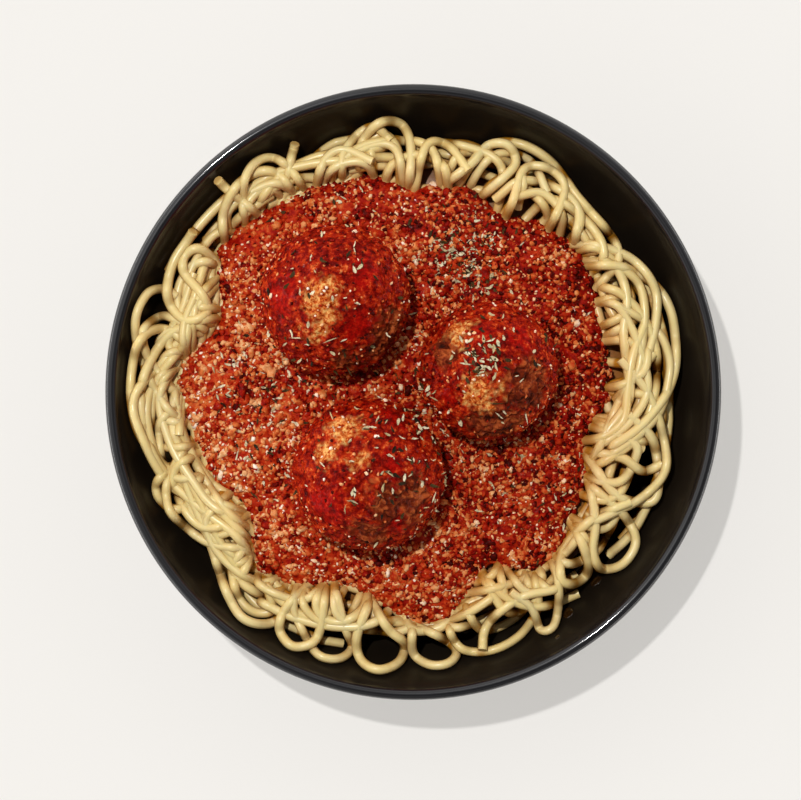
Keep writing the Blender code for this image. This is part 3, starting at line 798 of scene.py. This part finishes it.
def make_ball(index):
    radius = BALL_PLACES[index][2]
    middle = ball_middle(index)
    bm = bmesh.new()
    bmesh.ops.create_icosphere(bm, subdivisions=7, radius=1.0)
    marks = {"gold": [], "brown": [], "red": []}
    for vert in bm.verts:
        out = vert.co.normalized()
        here = {kind: mark_share(out, radius, index, kind) for kind in marks}
        for kind, values in marks.items():
            values.append(here[kind])
        vert.co = middle + out * (radius + ball_relief(out, radius, index, here))
        vert.co.z = min(max(vert.co.z, middle.z - BALL_LIFT + 2 * GAP), HIGHEST)
    mesh = mesh_of(bm, f"meatball_{index + 1}_dressed")
    for kind, values in marks.items():
        set_attribute(mesh, kind, values)
    return mesh


# %% [markdown]
# The glaze on the balls is the sauce's red. The shape stores how much of each kind of patch is at a point,
# and the finish mixes in the browned layers, the thick tomato and the bare mince by it. On each ball's
# lower right the browned layers are painted shade as well as browning.
# %% Finish of the meatballs
meat_look, tree, shader, place = start_material("browned_meat_look", 0.45, 0.02, 0.05, 0.06)
mottle = add_noise(tree, place, 0.0026, 4.0, 0.70)
grit = add_noise(tree, place, 0.0016, 4.0, 0.7)
layers = tree.nodes.new("ShaderNodeMapping")
fill(layers, {"Vector": place, "Scale": (1.0, 1.0, LAYERED)})
strata = add_noise(tree, layers.outputs[0], 0.005, 4.0, 0.62)
colour = add_ramp(
    tree, mottle, (0.32, srgb(48, 3, 1)), (0.47, srgb(122, 9, 3)), (0.60, srgb(176, 44, 10)), (0.72, srgb(224, 126, 60))
)
# Painted shade as well as browning: the dark layered ramp for the brown marks
crust_and_shade = add_ramp(tree, strata, (0.34, srgb(40, 10, 3)), (0.50, srgb(110, 34, 12)), (0.66, srgb(180, 88, 42)))
bright = add_ramp(tree, mottle, (0.36, srgb(92, 4, 1)), (0.56, srgb(158, 10, 3)), (0.70, srgb(200, 60, 24)))
gold = add_ramp(tree, grit, (0.38, srgb(126, 20, 5)), (0.47, srgb(196, 92, 28)), (0.64, srgb(232, 182, 108)))
for kind, source in (("brown", crust_and_shade), ("red", bright), ("gold", gold)):
    colour = add_mix(tree, read_attribute(tree, kind), colour, source)
fill(shader, {"Base Color": colour})
add_relief(tree, shader, place, RELIEF, (0.0005, 2.0, 0.00012))
ball_pieces = []
for index in range(3):
    name = f"meatball_{index + 1}"
    ball_pieces.append(add_piece(f"{name}_dressed", make_ball(index), meat_look, name))

# %% [markdown]
# Small things lie on the food: mince and herbs. Each kind is a few small shapes, copied many times with
# their own size, turn and tone, and all copies become one mesh. A BVH tree answers where the surface is,
# which is quicker and surer than working it out again.
# %% Find the surface and copy small shapes
DOWN = Vector((0, 0, -1))


def surface_tree(piece):
    bm = bmesh.new()
    bm.from_mesh(piece.data)
    tree = BVHTree.FromBMesh(bm)
    bm.free()
    return tree


sauce_tree = surface_tree(sauce_piece)
ball_trees = [surface_tree(piece) for piece in ball_pieces]


def surface_below(tree, x, y):
    """Where a surface lies below a place, and the way it faces there."""
    return tree.ray_cast(Vector((x, y, 0.2)), DOWN)[:2]


def lying(spot, normal, sizes, lean=0.3):
    """The matrix of a small thing of three sizes that lies on a surface, turned at random."""
    turn = Matrix.Rotation(rng.uniform(0, math.tau), 4, "Z") @ Matrix.Rotation(rng.normal(0, lean), 4, "X")
    facing = normal.to_track_quat("Z", "Y").to_matrix().to_4x4()
    return Matrix.Translation(spot) @ facing @ turn @ Matrix.Diagonal((*sizes, 1.0))


def scatter(name, shapes, places, material, smooth=True):
    """One piece of many small copies, none higher than the solids. A place is a matrix and a tone."""
    corners, faces, tones, offset = [], [], [], 0
    for count, (matrix, tone) in enumerate(places):
        points, polygons = shapes[count % len(shapes)]
        corners.append(points @ np.array(matrix.to_3x3()).T + np.array(matrix.translation))
        faces.append(polygons + offset)
        tones.append(np.full(len(points), tone))
        offset += len(points)
    corners = np.concatenate(corners)
    corners[:, 2] = np.minimum(corners[:, 2], HIGHEST)
    mesh = bpy.data.meshes.new(name)
    mesh.from_pydata(corners.tolist(), [], np.concatenate(faces).tolist())
    set_attribute(mesh, "tone", np.concatenate(tones))
    add_piece(name, mesh, material, smooth=smooth)


def shape_of(bm):
    """The corners and triangles of a small shape, ready to be copied."""
    bmesh.ops.triangulate(bm, faces=bm.faces)
    bmesh.ops.recalc_face_normals(bm, faces=bm.faces)
    bm.verts.ensure_lookup_table()
    points = np.array([tuple(vert.co) for vert in bm.verts])
    polygons = np.array([[vert.index for vert in face.verts] for face in bm.faces])
    bm.free()
    return points, polygons


print("surfaces ready")

# %% [markdown]
# The mince comes in three sizes: grains, crumbs half as big and a few lumps, each an icosphere pushed out
# of round. Most are red like the sauce and some are pale with fat; the palest, nearly white specks also
# stand in for glints, as painted highlights. They gather where mince lies thick. Fewer lie on the balls,
# and hardly any where tomato covers them.
# %% Scatter the mince
# Name, number, smallest size, range of sizes, shares of the tones, how much they gather
MINCE = (
    ("mince_grains", 9600, 0.0005, 0.0007, (0.13, 0.25, 0.24, 0.21, 0.15, 0.02), 1.5),
    # The tiny crumbs carry the largest share of the palest tone: painted glints as well as fat
    ("mince_crumbs", 9600, 0.00025, 0.0004, (0.18, 0.17, 0.16, 0.14, 0.15, 0.20), 0.5),
    ("mince_lumps", 150, 0.0010, 0.0008, (0.13, 0.25, 0.24, 0.21, 0.15, 0.02), 1.5),
)
# The palest tone, near white, is pale fat and painted glints at once
GRAIN_AND_GLINT_TONES = (-0.18, -0.06, 0.03, 0.12, 0.22, 0.38)
GRAINS_ON_BALL = 620
BALL_SHARES = (0.24, 0.32, 0.18, 0.10, 0.08, 0.08)
GOLD_TONE = 0.22


def nugget(seed, fineness):
    bm = bmesh.new()
    bmesh.ops.create_icosphere(bm, subdivisions=fineness, radius=1.0)
    for vert in bm.verts:
        vert.co *= 1.0 + 0.8 * noise.noise(vert.co * 1.3 + Vector((seed * 3.7, 0, 0)))
    return shape_of(bm)


def mince_on_sauce(count, smallest, size_range, shares, gathering):
    places = []
    while len(places) < count:
        bearing, share = rng.uniform(0, 360), math.sqrt(rng.uniform(0.0, 1.0))
        x, y = polar(bearing, share * sauce_reach(bearing))
        covered = any(math.hypot(x - bx, y - by) < radius - 0.002 for bx, by, radius in BALL_PLACES)
        if covered or rng.uniform() > thickness_of_mince(x, y) ** gathering:
            continue
        spot, normal = surface_below(sauce_tree, x, y)
        if spot is None:
            continue
        size = smallest + size_range * rng.beta(1.5, 3.0)
        sizes = (size * rng.uniform(1.0, 1.8), size * rng.uniform(0.8, 1.2), size * 0.8)
        places.append((lying(spot, normal, sizes), rng.choice(GRAIN_AND_GLINT_TONES, p=shares) + left_front_tone(x, y)))
    return places


def mince_on_balls():
    places = []
    for index, (_, _, radius) in enumerate(BALL_PLACES):
        for _ in range(GRAINS_ON_BALL):
            out = Vector(rng.normal(0, 1, 3)).normalized()
            out.z = abs(out.z)
            red, brown, gold = (mark_share(out, radius, index, kind) for kind in ("red", "brown", "gold"))
            if rng.uniform() < 0.85 * max(red, brown):
                continue
            spot, normal, _, _ = ball_trees[index].find_nearest(ball_middle(index) + out * radius)
            size = 0.00025 + 0.0006 * rng.beta(1.3, 3.0)
            tone = rng.choice(GRAIN_AND_GLINT_TONES, p=BALL_SHARES) + GOLD_TONE * gold
            places.append((lying(spot, normal, (size * rng.uniform(1.0, 1.7), size, size * 0.7)), tone))
    return places


grain_shapes = [nugget(seed, 1) for seed in range(10)]
lump_shapes = [nugget(seed, 2) for seed in range(6)]
for name, *rule in MINCE:
    shapes = lump_shapes if name == "mince_lumps" else grain_shapes
    scatter(name, shapes, mince_on_sauce(*rule), sauce_look)
scatter("glaze_grains", grain_shapes, mince_on_balls(), sauce_look)

# %% [markdown]
# Dried herbs are torn flakes, thin and slightly bent, some pale and some nearly black. A flake is a small
# grid that is narrowed, torn and bent by noise. Most fell in patches, with a few long slivers between them.
# %% Scatter the herbs
# Where they lie: centre x, centre y, spread, number
HERB_PATCHES = (
    (0.0165, 0.0450, 0.0075, 250), (0.0010, -0.0060, 0.0060, 46), (-0.0510, 0.0060, 0.0100, 110),
    (0.0217, 0.0105, 0.0034, 60), (-0.0020, -0.0290, 0.0090, 56), (0.0400, -0.0330, 0.0110, 44),
    (-0.0300, 0.0350, 0.0120, 20), (-0.0550, -0.0200, 0.0090, 40), (0.0, 0.0, 0.0420, 200),
)
SLIVER_SPOTS = ((0.0064, -0.0156), (0.0271, -0.0311), (0.0120, -0.0180), (-0.0190, 0.0450))
SLIVERS, SLIVER_SPREAD = 44, 0.034
FLAKE_LENGTHS, SLIVER_LENGTHS = (0.0005, 0.0013), (0.0010, 0.0021)
FLAKE_LIFT = 0.0004


def herb_material(name, light, deep):
    material, tree, shader, place = start_material(name, 0.6, 0.1)
    colour = add_ramp(tree, read_attribute(tree, "tone"), (0.0, deep), (1.0, light))
    speckle = add_ramp(tree, add_noise(tree, place, 0.0006, 2.0), (0.3, srgb(190, 190, 190)), (0.7, WHITE))
    fill(shader, {"Base Color": add_mix(tree, 1.0, colour, speckle, "MULTIPLY")})
    return material


def flake_shape(seed):
    bm = bmesh.new()
    bmesh.ops.create_grid(bm, x_segments=3, y_segments=2, size=1.0)
    for vert in bm.verts:
        width = 0.45 * (1 - 0.55 * vert.co.x**2)
        wave = noise.noise(Vector((vert.co.x, vert.co.y, seed * 2.3)))
        cut = 1 + 0.9 * noise.noise(Vector((vert.co.x * 2, seed * 1.7, vert.co.y)))
        vert.co = (vert.co.x * cut, vert.co.y * width * (1 + 0.8 * wave), 0.22 * vert.co.x**2 + 0.3 * wave)
    bmesh.ops.solidify(bm, geom=bm.faces, thickness=0.16)
    return shape_of(bm)


def drop_flake(x, y, sizes, pale_share):
    hits = [surface_below(tree, x, y) for tree in (sauce_tree, *ball_trees)]
    hits = [hit for hit in hits if hit[0]]
    if hits:
        spot, normal = max(hits, key=lambda hit: hit[0].z)
        target = pale_flakes if rng.uniform() < pale_share else dark_flakes
        normal = normal.lerp(-DOWN, 0.4).normalized()
        target.append((lying(spot + normal * FLAKE_LIFT, normal, sizes, 0.25), rng.uniform(0, 1)))


flake_shapes = [flake_shape(seed) for seed in range(6)]
pale_flakes, dark_flakes = [], []
for patch_x, patch_y, spread, count in HERB_PATCHES:
    for _ in range(count):
        size = rng.uniform(*FLAKE_LENGTHS)
        drop_flake(*rng.normal((patch_x, patch_y), spread), (size, size * rng.uniform(0.6, 1.2), size), 0.55)
for x, y in [*SLIVER_SPOTS, *rng.normal(0, SLIVER_SPREAD, (SLIVERS, 2))]:
    drop_flake(x, y, (rng.uniform(*SLIVER_LENGTHS), 0.0006, 0.0004), 0.7)
pale_herb = herb_material("pale_herb_look", srgb(250, 236, 200), srgb(200, 178, 128))
dark_herb = herb_material("dark_herb_look", srgb(84, 64, 30), srgb(28, 17, 8))
scatter("herbs_pale", flake_shapes, pale_flakes, pale_herb, smooth=False)
scatter("herbs_dark", flake_shapes, dark_flakes, dark_herb, smooth=False)

# %% [markdown]
# Where noodles meet the wall at the lower right, oil has run down into small drops. A drop is a flat, smooth
# ball on the wall, darker and much glossier than the glaze, so that it shows by its glint alone.
# %% Drops of oil on the wall
# Bearing, distance from the axis and radius in mm
OIL_DROPS = (
    (305, 88.0, 2.6), (314, 86.0, 2.2), (319, 87.2, 1.2), (327, 84.0, 1.6), (322, 85.0, 1.0), (300.5, 92.4, 1.1),
)
ball = bmesh.new()
bmesh.ops.create_uvsphere(ball, u_segments=24, v_segments=12, radius=1.0)
drops = []
for bearing, far, size in OIL_DROPS:
    reach, radius = far / 1000, size / 1000
    spot = Vector((*polar(bearing, reach), float(inside_height(reach))))
    normal = Vector((*polar(bearing, -wall_rise(reach)), 1)).normalized()
    drops.append((lying(spot, normal, (radius, radius / 1.3, radius / 5), 0.0), 0.0))
oil_look, tree, shader, place = start_material("oil_look", 0.08, 0.5, 1.0, 0.03)
oily = add_ramp(tree, add_noise(tree, place, 0.003), (0.3, srgb(26, 14, 4)), (0.7, srgb(52, 30, 8)))
fill(shader, {"Base Color": oily})
scatter("oil_drops", [shape_of(ball)], drops, oil_look)

# %% [markdown]
# The photograph was taken from straight above, with a hard light from the upper left that throws the
# bowl's shadow to the lower right, and much soft light round it. A sun with a small angle makes the first
# and a bright world the second. The floor gives off some light of its own, which keeps its shadow light.
# %% Floor
bm = bmesh.new()
bmesh.ops.create_grid(bm, x_segments=1, y_segments=1, size=3.0)
floor_mesh = mesh_of(bm, "floor")
floor_look, tree, shader, place = start_material("floor_look", 0.9, 0.1)
fill(shader, {"Base Color": (0.396, 0.385, 0.368, 1.0)})
fill(shader, {"Emission Color": (1.0, 0.972, 0.928, 1.0), "Emission Strength": 0.476})
floor_mesh.materials.append(floor_look)
new_object("floor", floor_mesh)

# %% [markdown]
# The world is bright at middle height, to light the food from all sides, and dark overhead, where wet things
# would mirror it into the camera. It leans to the upper left, and two low strips draw the rim's light line.
# %% Sky and sun
LEAN = (-0.62, 0.62, 0.0)
LEAN_LEVEL, SKY_POWER, STRIP_POWER = 1.05, 0.66, 14.0
SUN_SHIFT = Vector((0.0095, -0.0121, -0.046))


def greys(*stops):
    return [(position, (grey, grey * 0.995, grey * 0.98, 1.0)) for position, grey in stops]


world = bpy.data.worlds.new("studio")
world.use_nodes = True
bpy.context.scene.world = world
sky = world.node_tree
facing = sky.nodes.new("ShaderNodeTexCoord").outputs["Generated"]
split = sky.nodes.new("ShaderNodeSeparateXYZ")
fill(split, {0: facing})
dome = add_ramp(sky, split.outputs["Z"], *greys((0.0, 0.40), (0.25, 0.90), (0.70, 0.95), (0.86, 0.22), (1.0, 0.08)))
band = add_ramp(sky, split.outputs["Z"], *greys((0.10, 1.0), (0.15, 0.0)))
sideways = add_math(sky, "MULTIPLY", split.outputs["X"], split.outputs["X"])
strips = add_math(sky, "MULTIPLY", add_math(sky, "MULTIPLY", band, sideways), STRIP_POWER)
leaning = add_math(sky, "DOT_PRODUCT", facing, LEAN, "ShaderNodeVectorMath")
power = add_math(sky, "MULTIPLY", add_math(sky, "ADD", leaning, LEAN_LEVEL), SKY_POWER)
fill(sky.nodes["Background"], {"Color": dome, "Strength": add_math(sky, "ADD", power, strips)})

sun_data = bpy.data.lights.new("key", "SUN")
sun_data.energy = 2.1
sun_data.angle = math.radians(1.5)
sun = new_object("key", sun_data)
sun.rotation_euler = SUN_SHIFT.to_track_quat("-Z", "Y").to_euler()
print("light ready")

# %% [markdown]
# The camera stands two metres above the rim, because the photograph shows hardly any of the bowl's side.
# Its lens follows from the photograph's width and the size of a pixel at the rim.
# %% Camera
PHOTO_WIDTH = 801
BOWL_PIXEL = (413.3, 392.0)
PHOTO_MIDDLE = (400.5, 400.0)
METRES_PER_PIXEL = 0.00032425
CAMERA_RISE = 2.0
SENSOR = 36.0
camera_data = bpy.data.cameras.new("camera")
camera_data.sensor_width = SENSOR
camera_data.lens = SENSOR * CAMERA_RISE / (PHOTO_WIDTH * METRES_PER_PIXEL)
camera_data.clip_end = 50.0
camera = new_object("camera", camera_data)
camera.location = (
    (PHOTO_MIDDLE[0] - BOWL_PIXEL[0]) * METRES_PER_PIXEL,
    (BOWL_PIXEL[1] - PHOTO_MIDDLE[1]) * METRES_PER_PIXEL,
    BOWL_HEIGHT + CAMERA_RISE,
)
bpy.context.scene.camera = camera
bpy.context.scene.view_settings.view_transform = "Standard"
print("lens", round(camera_data.lens, 1), "mm")
